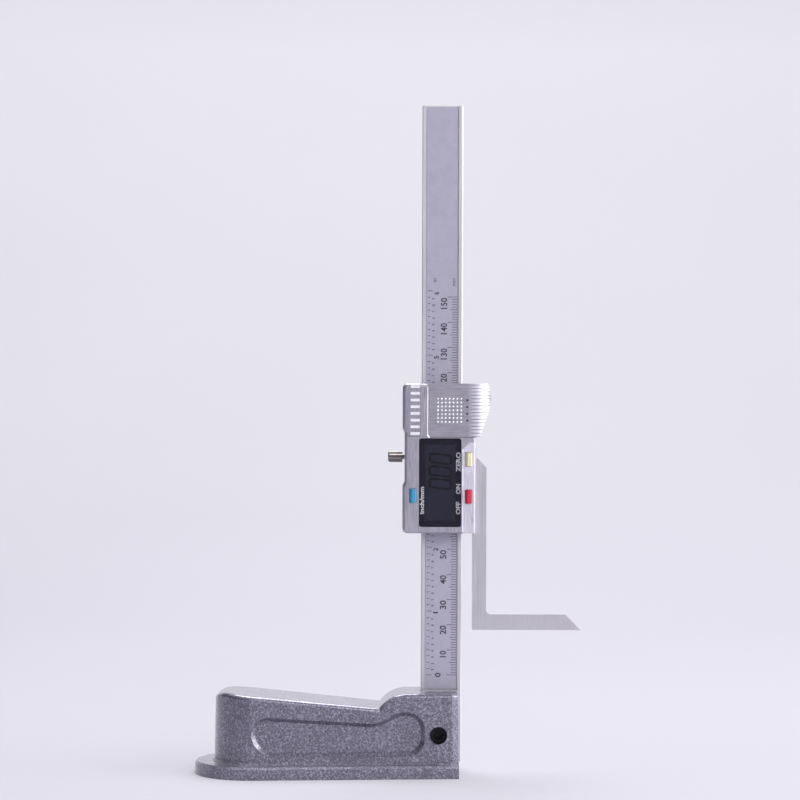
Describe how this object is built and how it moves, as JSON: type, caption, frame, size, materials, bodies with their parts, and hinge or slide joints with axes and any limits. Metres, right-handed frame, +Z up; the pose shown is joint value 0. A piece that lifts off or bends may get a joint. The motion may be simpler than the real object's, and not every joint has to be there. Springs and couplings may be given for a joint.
{
  "type": "height gauge",
  "caption": "Small digital height gauge: cast foot, upright steel beam with printed scale, and a sliding display head that carries a low measuring arm.",
  "frame": {"origin": "on the ground underside of the base, straight below the middle of the beam", "axes": "+X towards the measuring arm, +Y away from the display, +Z up the beam"},
  "size_m": [0.1531, 0.0454, 0.2645],
  "materials": {
    "hammertone_enamel": "grey hammertone enamel over cast iron, ground underside",
    "brushed_stainless": "ground and brushed stainless steel",
    "board_laminate": "glass-epoxy board",
    "scale_print": "printed satin silver film",
    "blackened_steel": "black oxide",
    "knurled_steel": "turned and knurled, nickel plated",
    "plated_screw": "plated",
    "brass_strip": "rolled, plain",
    "gold_contact": "gold plated",
    "spring_steel": "nickel plated spring strip",
    "satin_silver": "satin silver die casting",
    "silver_moulding": "satin silver plated moulding",
    "lens_acrylic": "clear acrylic lens, printed black behind",
    "lcd_glass": "display glass with polariser",
    "silicone": "conductive silicone",
    "potting": "black epoxy",
    "cell_steel": "nickel plated can",
    "yellow_key": "pale yellow moulding",
    "red_key": "red moulding",
    "blue_key": "blue moulding"
  },
  "bodies": {
    "base": {"base_casting": "hammertone_enamel", "clamp_screw": "blackened_steel", "beam": "brushed_stainless", "scale_strip": "board_laminate", "scale_label": "scale_print"},
    "slider": {"slider_frame": "brushed_stainless", "gib_strip": "brass_strip", "gib_screws": "plated_screw", "case_screws": "plated_screw", "sensor_board": "board_laminate", "chip_cover": "potting", "port_contacts": "gold_contact", "zebra_strips": "silicone", "lcd_panel": "lcd_glass", "key_pads": "silicone", "coin_cell": "cell_steel", "battery_spring": "spring_steel", "battery_clip": "spring_steel", "display_case": "satin_silver", "display_window": "lens_acrylic"},
    "lock_screw": {"lock_screw": "knurled_steel"},
    "zero_button": {"zero_button": "yellow_key"},
    "power_button": {"power_button": "red_key"},
    "unit_button": {"unit_button": "blue_key"},
    "battery_cover": {"battery_cover": "silver_moulding"},
    "port_cover": {"port_cover": "silver_moulding"}
  },
  "joints": [
    {"name": "slider_travel", "type": "slide", "parent": "base", "child": "slider", "axis": [0, 0, 1], "range_m": [-0.057, 0.093]},
    {"name": "lock_turn", "type": "hinge", "parent": "slider", "child": "lock_screw", "pos_m": [-0.0156, 0, 0.1257], "axis": [-1, 0, 0], "range_deg": [0, 270]},
    {"name": "zero_press", "type": "slide", "parent": "slider", "child": "zero_button", "axis": [0, 1, 0], "range_m": [0, 0.0006], "stiffness_N_per_m": 600, "springref_m": -0.0005},
    {"name": "power_press", "type": "slide", "parent": "slider", "child": "power_button", "axis": [0, 1, 0], "range_m": [0, 0.0006], "stiffness_N_per_m": 600, "springref_m": -0.0005},
    {"name": "unit_press", "type": "slide", "parent": "slider", "child": "unit_button", "axis": [0, 1, 0], "range_m": [0, 0.0006], "stiffness_N_per_m": 600, "springref_m": -0.0005},
    {"name": "battery_cover_slide", "type": "slide", "parent": "slider", "child": "battery_cover", "axis": [0, 0, 1], "range_m": [0, 0.016]},
    {"name": "port_cover_slide", "type": "slide", "parent": "slider", "child": "port_cover", "axis": [0, 0, 1], "range_m": [0, 0.015]}
  ]
}
